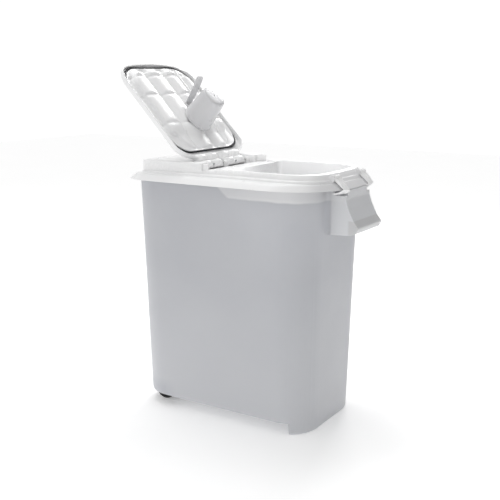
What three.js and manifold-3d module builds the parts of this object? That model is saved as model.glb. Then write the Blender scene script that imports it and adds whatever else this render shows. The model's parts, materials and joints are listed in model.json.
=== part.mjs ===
// Roll-away pet food bin: tapered tub on two wheels and a moulded foot, lift-off lid,
// hinged pouring flap with a sealing ring, two hook latches and a scoop kept under the flap.
// Millimetres, +Z up, +X towards the handle end, the floor at Z = 0.
import * as THREE from 'three';
import { mergeVertices } from 'three/addons/utils/BufferGeometryUtils.js';
import Module from 'manifold-3d';

const wasm = await Module();
wasm.setup();

// ---------------------------------------------------------------- driving dimensions
const SHIFT_X = 7.343;          // the model's box is centred on the origin by this much

const TUB_HX = 213.0, TUB_HY = 129.3, TUB_TAPER = 11.9 / 519, TUB_R = 69, TUB_WALL = 3;
const TUB_Z0 = 25, TUB_FLOOR = 3.5, TUB_TOP = 528.6;
const FOOT_X0 = 175, WELL_X1 = -128, WELL_TOP = 58;
const WHEEL_X = -170, WHEEL_R = 25, AXLE_R = 4, AXLE_HOLE = 4.11, WHEEL_Y0 = 76, WHEEL_Y1 = 97;

const SKIRT_Z0 = 519.4, LEDGE_Z = 532.3, DECK_Z = 539, RIM_Z = 550.4, TOP_Z = 560;
const LID_T = 3;
const RIM_HY = 122, PLAT_HY = 123, PLAT_X0 = -200.7;
const OPEN_X0 = 12, SHELF_Z = 546.5, OPEN_X1 = 215.5, OPEN_HY = 112, COLLAR_Z0 = 498;

const PIV_X = -64.8, PIV_Z = 550, FLAP_DEG = 46.2;       // hinge line and the open flap's slope
const FLAP_H = 10, FLAP_FH = -2.7;                        // hinge line seen from the flap's own frame
const FLAP_T = 3, FLAP_SKIRT = 14;
const HINGE_PIN_R = 2.5, HINGE_HOLE_R = 2.6;

const LATCH_S = 14.5, LATCH_RI = 34.9, LATCH_RO = 38.4;   // pivot along the sloping end, hook radii about it
const LATCH_Y0 = 48, LATCH_Y1 = 70, LATCH_PIN_R = 1.6, LATCH_HOLE_R = 1.68;

const HANDLE_HY = 57;
const GAP = 0.3;

// ---------------------------------------------------------------- helpers
function solid(geo, matrix) {
  const g = geo.clone();
  if (matrix) g.applyMatrix4(matrix);
  for (const k of Object.keys(g.attributes)) if (k !== 'position') g.deleteAttribute(k);
  const m = mergeVertices(g, 1e-4);
  return new wasm.Manifold(new wasm.Mesh({
    numProp: 3,
    vertProperties: new Float32Array(m.attributes.position.array),
    triVerts: new Uint32Array(m.index.array),
  }));
}
function geometry(man) {
  const mesh = man.getMesh();
  const n = mesh.vertProperties.length / mesh.numProp;
  const pos = new Float32Array(n * 3);
  for (let i = 0; i < n; i++) for (let k = 0; k < 3; k++) pos[i * 3 + k] = mesh.vertProperties[i * mesh.numProp + k];
  const g = new THREE.BufferGeometry();
  g.setAttribute('position', new THREE.BufferAttribute(pos, 3));
  g.setIndex(new THREE.BufferAttribute(new Uint32Array(mesh.triVerts), 1));
  g.computeVertexNormals();
  return g;
}
// Rounded rectangle, counter-clockwise, always 4 * (n + 1) points.
function plan(x0, x1, hy, r0, r1, n = 6) {
  const p = [];
  const arc = (cx, cy, r, a0) => {
    for (let i = 0; i <= n; i++) {
      const a = a0 + (Math.PI / 2) * (i / n);
      p.push([cx + r * Math.cos(a), cy + r * Math.sin(a)]);
    }
  };
  arc(x1 - r1, hy - r1, r1, 0);
  arc(x0 + r0, hy - r0, r0, Math.PI / 2);
  arc(x0 + r0, -hy + r0, r0, Math.PI);
  arc(x1 - r1, -hy + r1, r1, 1.5 * Math.PI);
  return p;
}
// A solid through matching outlines at rising heights: an extruded outline whose rings are moved.
function loft(sections) {
  const n = sections[0].pts.length;
  const shape = new THREE.Shape(sections[0].pts.map(([x, y]) => new THREE.Vector2(x, y)));
  const faces = THREE.ShapeUtils.triangulateShape(shape.getPoints().slice(0, n), []);
  const pos = [], idx = [];
  for (const s of sections) for (const [x, y] of s.pts) pos.push(x, y, s.z);
  for (const [a, b, c] of faces) idx.push(c, b, a);
  const top = (sections.length - 1) * n;
  for (const [a, b, c] of faces) idx.push(top + a, top + b, top + c);
  for (let k = 0; k + 1 < sections.length; k++) for (let i = 0; i < n; i++) {
    const a = k * n + i, b = k * n + ((i + 1) % n), c = a + n, d = b + n;
    idx.push(a, b, d, a, d, c);
  }
  const g = new THREE.BufferGeometry();
  g.setAttribute('position', new THREE.BufferAttribute(new Float32Array(pos), 3));
  g.setIndex(idx);
  return solid(g);
}
function prism(pts, z0, z1) {            // outline in XY, from z0 to z1
  const s = new THREE.Shape(pts.map(([x, y]) => new THREE.Vector2(x, y)));
  const g = new THREE.ExtrudeGeometry(s, { depth: z1 - z0, bevelEnabled: false, curveSegments: 1 });
  return solid(g, new THREE.Matrix4().makeTranslation(0, 0, z0));
}
function slab(pts, y0, y1) {             // outline in XZ, from y0 to y1
  const s = new THREE.Shape(pts.map(([x, z]) => new THREE.Vector2(x, z)));
  const g = new THREE.ExtrudeGeometry(s, { depth: y1 - y0, bevelEnabled: false, curveSegments: 1 });
  // shape (x, z) -> world (x, y, z): turn about X by +90 degrees, depth then runs towards -Y
  const m = new THREE.Matrix4().makeTranslation(0, y1, 0).multiply(new THREE.Matrix4().makeRotationX(Math.PI / 2));
  return solid(g, m);
}
function box(x0, x1, y0, y1, z0, z1) {
  return solid(new THREE.BoxGeometry(x1 - x0, y1 - y0, z1 - z0),
    new THREE.Matrix4().makeTranslation((x0 + x1) / 2, (y0 + y1) / 2, (z0 + z1) / 2));
}
function rodY(x, z, r, y0, y1, seg = 24) {
  return solid(new THREE.CylinderGeometry(r, r, y1 - y0, seg), new THREE.Matrix4().makeTranslation(x, (y0 + y1) / 2, z));
}
const mirrorY = (man) => man.scale([1, -1, 1]);
const union = (list) => list.reduce((a, b) => a.add(b));

const root = new THREE.Group();
function piece(name, man, material, parent = root) {
  const mesh = new THREE.Mesh(geometry(man), material);
  mesh.name = name;
  parent.add(mesh);
  return mesh;
}
const mat = (color, roughness, metalness = 0) => new THREE.MeshStandardMaterial({ color, roughness, metalness });

// ---------------------------------------------------------------- tub
const hx = (z) => TUB_HX + TUB_TAPER * z, hy = (z) => TUB_HY + TUB_TAPER * z;
const tubPlan = (z, inset = 0, x0 = null) => plan(x0 ?? -(hx(z) - inset), hx(z) - inset, hy(z) - inset, TUB_R - inset, TUB_R - inset);
{
  let outer = loft([{ z: TUB_Z0, pts: tubPlan(TUB_Z0) }, { z: TUB_TOP, pts: tubPlan(TUB_TOP) }]);
  let cavity = loft([{ z: TUB_Z0 + TUB_FLOOR, pts: tubPlan(TUB_Z0 + TUB_FLOOR, TUB_WALL) },
    { z: TUB_TOP + 1, pts: tubPlan(TUB_TOP + 1, TUB_WALL) }]);
  // moulded foot under the handle end: the floor drops into it
  const footBox = box(FOOT_X0, 260, -200, 200, -1, TUB_Z0 + 20);
  const footOuter = loft([{ z: 0, pts: tubPlan(0) }, { z: TUB_Z0 + 1, pts: tubPlan(TUB_Z0 + 1) }]).intersect(footBox);
  const footIn = box(FOOT_X0 + TUB_WALL, 260, -200, 200, 0, TUB_Z0 + 20);
  const footCavity = loft([{ z: TUB_FLOOR, pts: tubPlan(TUB_FLOOR, TUB_WALL) }, { z: TUB_Z0 + 10, pts: tubPlan(TUB_Z0 + 10, TUB_WALL) }]).intersect(footIn);
  // raised floor over the wheels
  const raised = box(-260, WELL_X1 + TUB_WALL, -200, 200, TUB_Z0 - 2, WELL_TOP + TUB_FLOOR);
  cavity = cavity.subtract(raised).add(footCavity);
  const well = loft([{ z: TUB_Z0 - 2, pts: tubPlan(TUB_Z0 - 2, TUB_WALL + 0.5) }, { z: WELL_TOP, pts: tubPlan(WELL_TOP, TUB_WALL + 0.5) }])
    .intersect(box(-260, WELL_X1, -200, 200, TUB_Z0 - 3, WELL_TOP));
  let tub = outer.add(footOuter).subtract(cavity).subtract(well);
  // axle hangers in the wheel well
  const hanger = (y0, y1) => slab([[WHEEL_X - 14, WELL_TOP + 1], [WHEEL_X - 8, 17], [WHEEL_X + 8, 17], [WHEEL_X + 14, WELL_TOP + 1]], y0, y1);
  tub = tub.add(hanger(66, 71)).add(hanger(-71, -66)).add(hanger(-3, 3));
  tub = tub.subtract(rodY(WHEEL_X, WHEEL_R, AXLE_HOLE, -80, 80));
  piece('bin_body', tub, mat(0xc3c6c8, 0.42));
}

// ---------------------------------------------------------------- pull handle
{
  const out = [[264, 518], [265.3, 498.6], [271, 482], [284, 458], [294, 443.5], [287.5, 432]];
  const inn = [[284.6, 433.2], [290.1, 443.2], [281.3, 456.5], [268.1, 480.9], [262.3, 498.2], [261, 518]];
  const bodyX = (z) => hx(z) + GAP;
  let h = slab([...out, ...inn], -HANDLE_HY, HANDLE_HY);
  const cheek = slab([[264, 518], [265.3, 498.6], [271, 482], [284, 458], [294, 443.5], [287.5, 432], [276, 428], [bodyX(426), 426], [bodyX(518), 518]], HANDLE_HY - 3, HANDLE_HY);
  h = h.add(cheek).add(mirrorY(cheek));
  h = h.add(slab([[bodyX(515), 515], [263, 515], [263, 518], [bodyX(518), 518]], -HANDLE_HY, HANDLE_HY));
  // fixing strips along the tub
  const strip = slab([[bodyX(426), 426], [bodyX(426) + 3, 426], [bodyX(518) + 3, 518], [bodyX(518), 518]], HANDLE_HY - 14, HANDLE_HY - 1);
  h = h.add(strip).add(mirrorY(strip));
  // corners cut away for the latch hooks
  h = h.subtract(box(240, 300, 44, 80, 503, 530)).subtract(box(240, 300, -80, -44, 503, 530));
  piece('pull_handle', h, mat(0xc0c3c6, 0.42));
}

// ---------------------------------------------------------------- running gear
{
  const rubber = () => mat(0x151515, 0.6);
  const wheelProfile = [[4.08, -10.5], [9, -10.5], [9, -8.5], [20, -8.5], [21.5, -9.8], [23.6, -9.8], [25, -7], [25, 7], [23.6, 9.8], [21.5, 9.8], [20, 8.5], [9, 8.5], [9, 10.5], [4.08, 10.5], [4.08, -10.5]]
    .map(([r, y]) => new THREE.Vector2(r, y));
  const wheel = solid(new THREE.LatheGeometry(wheelProfile, 32));
  const yc = (WHEEL_Y0 + WHEEL_Y1) / 2;
  for (const [nm, s] of [['front', -1], ['back', 1]]) {
    piece('wheel_' + nm, wheel.translate([WHEEL_X, s * yc, WHEEL_R]), rubber());
  }
  piece('axle', rodY(WHEEL_X, WHEEL_R, AXLE_R, -102, 102), mat(0xb8babc, 0.3, 1));
  const nut = [[4.06, 0], [8.2, 0], [8.2, 1], [5.6, 2.6], [4.06, 2.6], [4.06, 0]].map(([r, y]) => new THREE.Vector2(r, y));
  const nutMan = solid(new THREE.LatheGeometry(nut, 24));
  piece('push_nut_back', nutMan.translate([WHEEL_X, WHEEL_Y1 + 0.9, WHEEL_R]), mat(0xa9abad, 0.35, 1));
  piece('push_nut_front', mirrorY(nutMan).translate([WHEEL_X, -WHEEL_Y1 - 0.9, WHEEL_R]), mat(0xa9abad, 0.35, 1));
}

// ---------------------------------------------------------------- lid
// the end face slopes from the rim down to the skirt between these two points
const SLOPE_A = [229, RIM_Z], SLOPE_B = [266, SKIRT_Z0];
const slopeX = (z) => SLOPE_A[0] + (SLOPE_B[0] - SLOPE_A[0]) * (SLOPE_A[1] - z) / (SLOPE_A[1] - SLOPE_B[1]);
const LATCH_PX = SLOPE_A[0] + (SLOPE_B[0] - SLOPE_A[0]) / Math.hypot(37, 31) * LATCH_S + 31 / Math.hypot(37, 31) * 5;
const LATCH_PZ = SLOPE_A[1] - 31 / Math.hypot(37, 31) * LATCH_S + 37 / Math.hypot(37, 31) * 5;
const slopeDir = (() => { const d = [SLOPE_B[0] - SLOPE_A[0], SLOPE_B[1] - SLOPE_A[1]], l = Math.hypot(...d); return [d[0] / l, d[1] / l]; })();
{
  const skirt = (z0, z1, i) => loft([
    { z: z0, pts: plan(-241 + i, 266 - i, 158.5 - i, 69 - i, 134 - i) },
    { z: z1, pts: plan(-229.3 + i, slopeX(LEDGE_Z) - i, 145 - i, 66 - i, 98 - i) }]);
  const step = (z0, z1, i) => loft([
    { z: z0, pts: plan(-223 + i, 246.5 - i, 132 - i, 58 - i, 88 - i) },
    { z: z1, pts: plan(-214 + i, slopeX(DECK_Z) - i, 130 - i, 52 - i, 78 - i) }]);
  const rim = loft([
    { z: DECK_Z - 1, pts: plan(-60, 240.5, RIM_HY, 6, 74) },
    { z: RIM_Z, pts: plan(-60, 229, RIM_HY, 6, 64) }]);
  const platPts = (i) => [[-40 - i, -108 + i * 0.5], [-38 - i, -PLAT_HY + i], [PLAT_X0 + 8, -PLAT_HY + i], [PLAT_X0 + 2.4 + i * 0.7, -PLAT_HY + 2.4 + i * 0.7], [PLAT_X0 + i, -PLAT_HY + 8],
    [PLAT_X0 + i, PLAT_HY - 8], [PLAT_X0 + 2.4 + i * 0.7, PLAT_HY - 2.4 - i * 0.7], [PLAT_X0 + 8, PLAT_HY - i], [-38 - i, PLAT_HY - i], [-40 - i, 108 - i * 0.5], [-43 - i, 94], [-43 - i, -94]];
  const platform = prism(platPts(0), DECK_Z - 1, TOP_Z);
  let outer = skirt(SKIRT_Z0, LEDGE_Z, 0).add(step(LEDGE_Z - 0.5, DECK_Z, 0)).add(rim).add(platform);
  let inner = skirt(SKIRT_Z0 - 0.01, LEDGE_Z - LID_T - 0.3, LID_T).add(step(LEDGE_Z - LID_T - 1, DECK_Z - LID_T, LID_T));
  inner = inner.add(prism(plan(PLAT_X0 + 3, -94, PLAT_HY - 3, 6, 6), DECK_Z - LID_T - 1, TOP_Z - LID_T));
  inner = inner.subtract(box(-94, OPEN_X1 + 4, -OPEN_HY - 4, OPEN_HY + 4, DECK_Z - 6, TOP_Z));
  let lid = outer.subtract(inner);
  // sleeve that drops into the tub's mouth, then the pouring opening through it
  lid = lid.add(prism(plan(OPEN_X0 - 3, OPEN_X1 + 3, OPEN_HY + 3, 20, 58), COLLAR_Z0, DECK_Z - 1));
  lid = lid.subtract(prism(plan(OPEN_X0, OPEN_X1, OPEN_HY, 17, 55), COLLAR_Z0 - 1, RIM_Z + 1));
  // hinge recess in the raised platform
  lid = lid.subtract(box(-89.5, -35.8, -94, 94, 539.5, TOP_Z + 1));
  // shelf between the hinge and the opening
  lid = lid.subtract(box(-36, OPEN_X0 + 20, -94, 94, SHELF_Z, TOP_Z + 1)).subtract(box(-37.9, -9, -130, 130, 545.4, TOP_Z + 1));
  // hinge lugs
  const lug = (y0, y1) => slab([[PIV_X - 8, 538.5], [PIV_X + 8, 538.5], [PIV_X + 6.2, PIV_Z + 2], [PIV_X + 3.2, PIV_Z + 5.4], [PIV_X - 3.2, PIV_Z + 5.4], [PIV_X - 6.2, PIV_Z + 2]], y0, y1);
  lid = lid.add(lug(76, 94.5)).add(lug(-94.5, -76)).add(lug(-9, 9));
  lid = lid.subtract(rodY(PIV_X, PIV_Z, HINGE_HOLE_R, -96.5, 96.5));
  // latch ears on the sloping end
  const ear = (y0, y1) => {
    const [dx, dz] = slopeDir, nx = -dz, nz = dx;
    const at = (s, o) => [SLOPE_A[0] + dx * s + nx * o, SLOPE_A[1] + dz * s + nz * o];
    const pts = [at(LATCH_S - 6.3, -4.5), at(LATCH_S + 7.5, -4.5), at(LATCH_S + 4, 5.5), at(LATCH_S + 1.7, 8), at(LATCH_S - 2.5, 8), at(LATCH_S - 4.9, 5.5)];
    return slab(pts.reverse(), y0, y1).add(rodY(LATCH_PX, LATCH_PZ, 3.4, y0, y1, 16));
  };
  for (const s of [1, -1]) {
    const pair = ear(LATCH_Y0 - 3.4, LATCH_Y0 - 0.4).add(ear(LATCH_Y1 + 0.4, LATCH_Y1 + 3.4));
    lid = lid.add(s > 0 ? pair : mirrorY(pair));
  }
  lid = lid.subtract(rodY(LATCH_PX, LATCH_PZ, LATCH_HOLE_R, 40, 80, 16)).subtract(rodY(LATCH_PX, LATCH_PZ, LATCH_HOLE_R, -80, -40, 16));
  piece('lid_frame', lid, mat(0xf0f0f0, 0.35));
  piece('hinge_pin', rodY(PIV_X, PIV_Z, HINGE_PIN_R, -96, 96), mat(0xb4b6b8, 0.3, 1));
}

// ---------------------------------------------------------------- latches
{
  const [dx, dz] = slopeDir, nx = -dz, nz = dx;
  const at = (s, o) => [SLOPE_A[0] + dx * s + nx * o, SLOPE_A[1] + dz * s + nz * o];
  const polar = (r, deg) => [LATCH_PX + r * Math.cos(deg * Math.PI / 180), LATCH_PZ + r * Math.sin(deg * Math.PI / 180)];
  const strap = slab([at(LATCH_S - 3, 0.6), at(50.4, 0.6), at(50.4, 4.2), at(LATCH_S - 3, 4.2)].reverse(), LATCH_Y0, LATCH_Y1);
  const ring = [];
  for (let a = -88; a <= -42.9; a += 5) ring.push(polar(LATCH_RO, a));
  const ringIn = [];
  for (let a = -43; a >= -88.1; a -= 5) ringIn.push(polar(LATCH_RI, a));
  const jaw = slab([...ring, ...ringIn], LATCH_Y0, LATCH_Y1);
  const tip = rodY(...(() => { const p = polar(36.65, -88); return [p[0], p[1]]; })(), 2.1, LATCH_Y0, LATCH_Y1, 12);
  let clip = strap.add(jaw).add(tip).add(rodY(LATCH_PX, LATCH_PZ, 4.2, LATCH_Y0, LATCH_Y1, 20));
  clip = clip.subtract(rodY(LATCH_PX, LATCH_PZ, LATCH_HOLE_R, 40, 80, 16));
  piece('latch_back', clip, mat(0xf6f6f6, 0.3));
  piece('latch_front', mirrorY(clip), mat(0xf6f6f6, 0.3));
  piece('latch_pin_back', rodY(LATCH_PX, LATCH_PZ, LATCH_PIN_R, LATCH_Y0 - 4, LATCH_Y1 + 4, 16), mat(0xb4b6b8, 0.3, 1));
  piece('latch_pin_front', rodY(LATCH_PX, LATCH_PZ, LATCH_PIN_R, -LATCH_Y1 - 4, -LATCH_Y0 + 4, 16), mat(0xb4b6b8, 0.3, 1));
}

// ---------------------------------------------------------------- flap
// Own frame: x along the flap away from the hinge, y across, z = depth from the outer face to the inside.
const t = FLAP_DEG * Math.PI / 180;
const F = new THREE.Vector3(-Math.cos(t), 0, Math.sin(t));
const N = new THREE.Vector3(Math.sin(t), 0, Math.cos(t));
const flapOrigin = new THREE.Vector3(PIV_X, 0, PIV_Z).addScaledVector(F, -FLAP_FH).addScaledVector(N, -FLAP_H);
// columns: local x -> F, local y -> -Y (keeps it right-handed), local z -> N
const flapM = new THREE.Matrix4().makeBasis(F, new THREE.Vector3(0, -1, 0), N).setPosition(flapOrigin);
const flapGroup = new THREE.Group();
flapM.decompose(flapGroup.position, flapGroup.quaternion, flapGroup.scale);
root.add(flapGroup);
const half = [[12, 0], [12, 68], [19, 82], [26.5, 99], [35, 114], [45, 123.5], [58, 128], [146, 128], [236, 128], [253, 125], [268, 118], [280, 108], [289.5, 91], [294.5, 62], [297, 30], [298, 0]];
const flapPlan = (i) => {
  // inset by moving towards the middle
  const s = half.map(([x, y]) => [x, y]);
  const top = s.map(([x, y]) => [THREE.MathUtils.lerp(155, x, 1 - i / 143), y * (1 - i / 128)]);
  const bottom = top.slice(1, -1).map(([x, y]) => [x, -y]).reverse();
  return [...top.slice().reverse(), ...bottom.reverse()];
};
{
  let shell = loft([{ z: 1.2, pts: flapPlan(0) }, { z: FLAP_SKIRT, pts: flapPlan(0) }]).add(loft([{ z: 0, pts: flapPlan(1.2) }, { z: 1.21, pts: flapPlan(0) }]));
  shell = shell.subtract(loft([{ z: FLAP_T, pts: flapPlan(3) }, { z: FLAP_SKIRT + 1, pts: flapPlan(3) }]));
  // the skirt stops short of the hinge lugs
  shell = shell.subtract(box(5, 22, -70, 70, 4.5, FLAP_SKIRT + 1)).subtract(box(279, 310, -140, 140, 9.5, FLAP_SKIRT + 1));
  // knuckles and their arms
  for (const [y0, y1] of [[9.6, 75.4], [-75.4, -9.6]]) {
    const yy0 = y0, yy1 = y1;
    const arm = slab([[-9.4, 8], [-7.6, 4.6], [4, 0.8], [22, 0.6], [30, FLAP_T + 0.3], [27, 12], [18, 18.4], [2, 18.8], [-6, 15.4]].reverse(), yy0, yy1);
    shell = shell.add(arm).add(rodY(FLAP_FH, FLAP_H, 7.2, yy0, yy1));
  }
  shell = shell.subtract(rodY(FLAP_FH, FLAP_H, HINGE_HOLE_R, -90, 90));
  piece('flap_shell', shell, mat(0xf0f0f0, 0.35), flapGroup);

  // inner pan: shallow by the hinge, deeper over the opening
  const z0 = FLAP_T + GAP;
  let pan = loft([{ z: z0, pts: plan(48, 281, 112, 36, 48) }, { z: 8.6, pts: plan(49, 280, 111, 35, 47) }]);
  pan = pan.add(loft([{ z: 8, pts: plan(80, 273, 106, 26, 46) }, { z: 19, pts: plan(82, 268, 101, 24, 42) }]));
  pan = pan.subtract(loft([{ z: z0 - 1, pts: plan(51, 278, 109, 33, 45) }, { z: 6.1, pts: plan(51, 278, 109, 33, 45) }]));
  pan = pan.subtract(loft([{ z: 6, pts: plan(83, 270, 103, 23, 43) }, { z: 16.5, pts: plan(84.5, 265.5, 98.5, 22, 40) }]));
  piece('flap_pan', pan, mat(0xeceded, 0.35), flapGroup);

  // sealing ring
  const ring = prism(plan(38.5, 288.5, 121.5, 44, 56), z0, 9.2).subtract(prism(plan(44.2, 282.8, 115.8, 38.3, 50.3), z0 - 1, 10));
  piece('flap_gasket', ring, mat(0x101114, 0.7), flapGroup);
}

// ---------------------------------------------------------------- scoop, kept upside down on the pan
{
  const SX = 117, SY = -8;                        // flap frame (local y runs towards the front)
  const z0 = 19.3, LEAN = 0.09;                   // the cup leans a little towards the flap's free end
  const circle = (r, z, n = 32) => Array.from({ length: n }, (_, i) => {
    const a = (i / n) * Math.PI * 2;
    return [SX + LEAN * (z - z0) + r * Math.cos(a), SY + r * Math.sin(a)];
  });
  const cone = (list) => loft(list.map(([z, r]) => ({ z, pts: circle(r, z) })));
  // boss that the cup's mouth snaps over
  const boss = cone([[z0, 31.3], [z0 + 6, 30.9]]).subtract(cone([[z0 + 2, 28], [z0 + 7, 28]]));
  piece('scoop_socket', boss, mat(0xefefef, 0.35), flapGroup);
  let cup = cone([[z0 + 0.4, 35], [z0 + 10, 34.2], [z0 + 62, 28.5], [z0 + 68, 27], [z0 + 71, 23.5]]);
  cup = cup.subtract(cone([[z0 - 1, 32.2], [z0 + 10, 31.8], [z0 + 61, 26.3], [z0 + 66, 25], [z0 + 68.5, 21.5]]));
  // grip standing up beside the cup on a short bridge
  const grip = slab([[SX + 46, z0 + 3], [SX + 50, z0 + 22], [SX + 58, z0 + 48], [SX + 68.5, z0 + 76], [SX + 65.5, z0 + 77], [SX + 55, z0 + 49.5], [SX + 47, z0 + 23.5], [SX + 43, z0 + 3]], SY - 12, SY + 12);
  const bridge = slab([[SX + 31, z0 + 3.4], [SX + 45, z0 + 3.4], [SX + 45, z0 + 7.4], [SX + 31, z0 + 7.4]], SY - 9, SY + 9)
    .subtract(cone([[z0 - 1, 32.2], [z0 + 10, 31.8]]));
  piece('scoop', cup.add(bridge).add(grip), mat(0x9a9da2, 0.35), flapGroup);
}

root.position.x = -SHIFT_X;
export default root;
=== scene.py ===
import bpy, bmesh, math, json
import numpy as np
from mathutils import Vector, Matrix

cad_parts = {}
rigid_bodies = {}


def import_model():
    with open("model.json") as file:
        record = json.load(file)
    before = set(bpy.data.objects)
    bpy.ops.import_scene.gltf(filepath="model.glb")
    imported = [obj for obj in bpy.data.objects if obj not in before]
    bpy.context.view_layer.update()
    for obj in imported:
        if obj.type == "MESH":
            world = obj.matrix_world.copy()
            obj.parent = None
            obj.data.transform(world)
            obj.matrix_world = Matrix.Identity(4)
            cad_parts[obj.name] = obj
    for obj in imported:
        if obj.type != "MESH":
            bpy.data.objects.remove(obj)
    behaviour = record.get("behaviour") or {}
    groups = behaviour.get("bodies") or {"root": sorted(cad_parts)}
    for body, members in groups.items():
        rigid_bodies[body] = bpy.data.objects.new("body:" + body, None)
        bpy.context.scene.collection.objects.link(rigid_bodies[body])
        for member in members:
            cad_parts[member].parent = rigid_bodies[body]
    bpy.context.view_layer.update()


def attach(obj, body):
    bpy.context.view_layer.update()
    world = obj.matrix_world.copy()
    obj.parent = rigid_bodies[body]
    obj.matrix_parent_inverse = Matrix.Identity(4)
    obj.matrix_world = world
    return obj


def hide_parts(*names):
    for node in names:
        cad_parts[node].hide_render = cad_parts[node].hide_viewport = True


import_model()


SCENE = bpy.context.scene
S = 7.343                                   # mm, the model's own centring in X
RAD = math.radians
# colour of the painted light strip on the tub wall just below the lid
PAINTED_LIGHT_BAND_COLOUR = (0.92, 0.92, 0.93)
WORLD_LO, WORLD_HI, BACKDROP = 0.24, 0.92, 1.05


# ------------------------------------------------------------------ materials
def nodes_of(name):
    m = bpy.data.materials.new(name)
    m.use_nodes = True
    nt = m.node_tree
    for n in list(nt.nodes):
        nt.nodes.remove(n)
    out = nt.nodes.new("ShaderNodeOutputMaterial")
    b = nt.nodes.new("ShaderNodeBsdfPrincipled")
    nt.links.new(b.outputs[0], out.inputs[0])
    return m, nt, b


def coords(nt, scale=(1, 1, 1)):
    tc = nt.nodes.new("ShaderNodeTexCoord")
    mp = nt.nodes.new("ShaderNodeMapping")
    mp.inputs["Scale"].default_value = scale
    nt.links.new(tc.outputs["Object"], mp.inputs[0])
    return mp.outputs[0]


def noise(nt, vec, scale, detail=3, rough=0.5):
    n = nt.nodes.new("ShaderNodeTexNoise")
    n.inputs["Scale"].default_value = scale
    n.inputs["Detail"].default_value = detail
    n.inputs["Roughness"].default_value = rough
    nt.links.new(vec, n.inputs["Vector"])
    return n.outputs["Fac"]


def ramp(nt, fac, stops):
    r = nt.nodes.new("ShaderNodeValToRGB")
    e = r.color_ramp.elements
    while len(e) > 1:
        e.remove(e[-1])
    e[0].position, e[0].color = stops[0][0], (*stops[0][1], 1)
    for p, c in stops[1:]:
        x = e.new(p)
        x.color = (*c, 1)
    nt.links.new(fac, r.inputs[0])
    return r.outputs[0]


def rng(nt, fac, lo, hi, a=0.3, b=0.7):
    r = nt.nodes.new("ShaderNodeMapRange")
    r.inputs["From Min"].default_value = a
    r.inputs["From Max"].default_value = b
    r.inputs["To Min"].default_value = lo
    r.inputs["To Max"].default_value = hi
    nt.links.new(fac, r.inputs["Value"])
    return r.outputs[0]


def mixc(nt, fac, a, b, mode="MIX"):
    m = nt.nodes.new("ShaderNodeMix")
    m.data_type = "RGBA"
    m.blend_type = mode
    for sock, v in (("Factor", fac),):
        if isinstance(v, float):
            m.inputs[0].default_value = v
        else:
            nt.links.new(v, m.inputs[0])
    for i, v in ((6, a), (7, b)):
        if isinstance(v, tuple):
            m.inputs[i].default_value = (*v, 1)
        else:
            nt.links.new(v, m.inputs[i])
    return m.outputs[2]


def bump(nt, bsdf, fac, dist, strength=1.0, prev=None):
    b = nt.nodes.new("ShaderNodeBump")
    b.inputs["Strength"].default_value = strength
    b.inputs["Distance"].default_value = dist
    nt.links.new(fac, b.inputs["Height"])
    if prev is not None:
        nt.links.new(prev, b.inputs["Normal"])
    nt.links.new(b.outputs[0], bsdf.inputs["Normal"])
    return b.outputs[0]


def plastic(name, c0, c1, rough=(0.3, 0.42), grain=900, depth=0.00006, spec=0.45, sss=0.0, trans=0.0, scuff=None,
            low=None, waves=0.0):
    m, nt, b = nodes_of(name)
    v = coords(nt)
    big = noise(nt, v, 9, 3)
    col = ramp(nt, big, [(0.3, c0), (0.7, c1)])
    fine = noise(nt, v, 140, 4)
    col = mixc(nt, rng(nt, fine, 0.0, 0.035), col, tuple(x * 0.8 for x in c0))
    if low is not None:                      # settled dust and scuffs towards the floor
        sep = nt.nodes.new("ShaderNodeSeparateXYZ")
        nt.links.new(v, sep.inputs[0])
        z = rng(nt, sep.outputs[2], 1.0, 0.0, 0.0, low[0])
        mul = nt.nodes.new("ShaderNodeMath"); mul.operation = "MULTIPLY"
        nt.links.new(z, mul.inputs[0]); nt.links.new(rng(nt, noise(nt, v, 46, 6, 0.7), 0.0, low[1], 0.45, 0.8), mul.inputs[1])
        col = mixc(nt, mul.outputs[0], col, low[2])
    if scuff is not None:                    # worn edges
        geo = nt.nodes.new("ShaderNodeNewGeometry")
        edge = rng(nt, geo.outputs["Pointiness"], 0.0, 1.0, 0.53, 0.62)
        mul = nt.nodes.new("ShaderNodeMath"); mul.operation = "MULTIPLY"
        nt.links.new(edge, mul.inputs[0]); nt.links.new(rng(nt, noise(nt, v, 210, 5), 0.0, 0.7, 0.4, 0.7), mul.inputs[1])
        col = mixc(nt, mul.outputs[0], col, scuff)
    nt.links.new(col, b.inputs["Base Color"])
    nt.links.new(rng(nt, noise(nt, v, 26, 5, 0.6), rough[0], rough[1]), b.inputs["Roughness"])
    b.inputs["Specular IOR Level"].default_value = spec
    b.inputs["IOR"].default_value = 1.49
    if sss:
        b.inputs["Subsurface Weight"].default_value = sss
        b.inputs["Subsurface Radius"].default_value = (1.0, 1.0, 1.0)
        b.inputs["Subsurface Scale"].default_value = 0.012
    if trans:
        b.inputs["Transmission Weight"].default_value = trans
    n1 = bump(nt, b, noise(nt, v, grain, 2), depth, 0.6)
    if waves:
        bump(nt, b, noise(nt, coords(nt, (1, 1, 0.55)), 7, 2), waves, 1.0, n1)
    return m


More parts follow.
